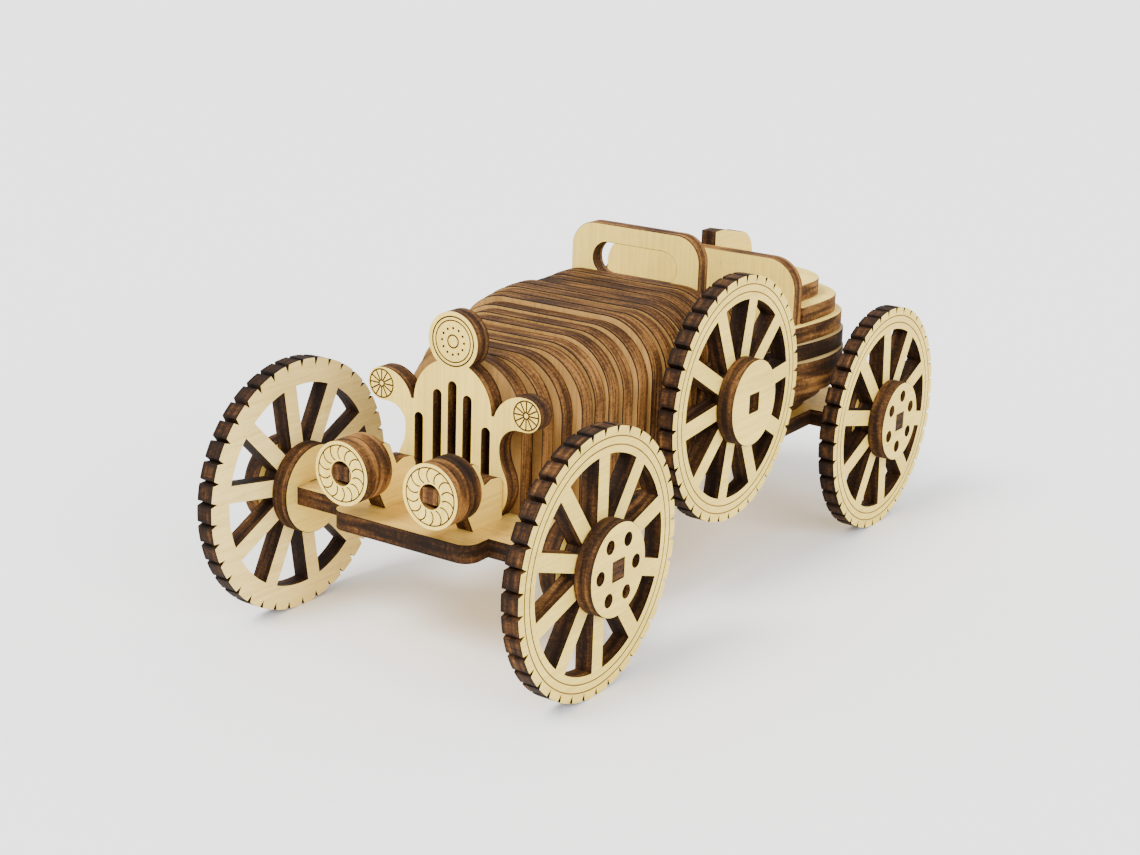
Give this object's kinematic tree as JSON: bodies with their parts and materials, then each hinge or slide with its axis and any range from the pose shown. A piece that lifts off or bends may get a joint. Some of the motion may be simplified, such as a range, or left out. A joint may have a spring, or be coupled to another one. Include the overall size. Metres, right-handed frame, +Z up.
{
  "type": "wooden jigsaw model car",
  "caption": "Slot-together plywood model of a vintage open racing car, with spoked turning wheels, layered bonnet and tail, side-mounted spare wheel and stalk headlamps.",
  "frame": {"origin": "on the floor plane the tyres stand on, midway between the axles on the car's centre plane", "axes": "+Z up; the front of the car faces -Y, so +Y points to the tail; +X is the car's own left side, where the spare wheel hangs"},
  "size_m": [0.0674, 0.1392, 0.059],
  "materials": {
    "ply_face": "unfinished laser-cut plywood, pale face with dark burnt edges",
    "ply_tan": "unfinished laser-cut plywood, warmer face with dark burnt edges"
  },
  "bodies": {
    "car": {"chassis": "ply_tan", "grille": "ply_face", "grille_backing": "ply_tan", "bonnet_slice_01": "ply_tan", "bonnet_slice_02": "ply_tan", "bonnet_slice_03": "ply_tan", "bonnet_slice_04": "ply_tan", "bonnet_slice_05": "ply_tan", "bonnet_slice_06": "ply_tan", "bonnet_slice_07": "ply_tan", "bonnet_slice_08": "ply_tan", "bonnet_slice_09": "ply_tan", "bonnet_slice_10": "ply_tan", "bonnet_slice_11": "ply_tan", "bonnet_slice_12": "ply_tan", "bonnet_slice_13": "ply_tan", "bonnet_slice_14": "ply_tan", "bonnet_slice_15": "ply_tan", "bonnet_rail_left": "ply_tan", "bonnet_rail_right": "ply_tan", "windscreen": "ply_face", "cowl": "ply_tan", "seat_back": "ply_face", "tail_fin": "ply_face", "tail_layer_1": "ply_tan", "tail_layer_2": "ply_tan", "tail_layer_3": "ply_tan", "tail_layer_4": "ply_tan", "tail_layer_5": "ply_tan", "tail_layer_6": "ply_tan", "tail_layer_7": "ply_tan", "tail_layer_8": "ply_tan", "hub_disc_front_left": "ply_face", "hub_disc_front_right": "ply_face", "hub_disc_rear_left": "ply_face", "hub_disc_rear_right": "ply_face", "hub_cap_front_left": "ply_face", "hub_cap_front_right": "ply_face", "hub_cap_rear_left": "ply_face", "hub_cap_rear_right": "ply_face", "spare_peg": "ply_face", "spare_disc": "ply_face", "spare_cap": "ply_face", "lamp_bracket_left": "ply_face", "lamp_bracket_right": "ply_face", "headlamp_front_left": "ply_face", "headlamp_front_right": "ply_face", "headlamp_rear_left": "ply_face", "headlamp_rear_right": "ply_face"},
    "wheel_front_left": {"wheel_front_left": "ply_face"},
    "wheel_front_right": {"wheel_front_right": "ply_face"},
    "wheel_rear_left": {"wheel_rear_left": "ply_face"},
    "wheel_rear_right": {"wheel_rear_right": "ply_face"},
    "spare": {"spare_wheel": "ply_face"}
  },
  "joints": [
    {"name": "wheel_front_left_spin", "type": "hinge", "parent": "car", "child": "wheel_front_left", "pos_m": [0.0292, -0.0486, 0.021], "axis": [1, 0, 0], "continuous": true},
    {"name": "wheel_front_right_spin", "type": "hinge", "parent": "car", "child": "wheel_front_right", "pos_m": [-0.0292, -0.0486, 0.021], "axis": [1, 0, 0], "continuous": true},
    {"name": "wheel_rear_left_spin", "type": "hinge", "parent": "car", "child": "wheel_rear_left", "pos_m": [0.0292, 0.0486, 0.021], "axis": [1, 0, 0], "continuous": true},
    {"name": "wheel_rear_right_spin", "type": "hinge", "parent": "car", "child": "wheel_rear_right", "pos_m": [-0.0292, 0.0486, 0.021], "axis": [1, 0, 0], "continuous": true},
    {"name": "spare_wheel_spin", "type": "hinge", "parent": "car", "child": "spare", "pos_m": [0.0239, 0.0003, 0.0345], "axis": [1, 0, 0], "continuous": true}
  ]
}
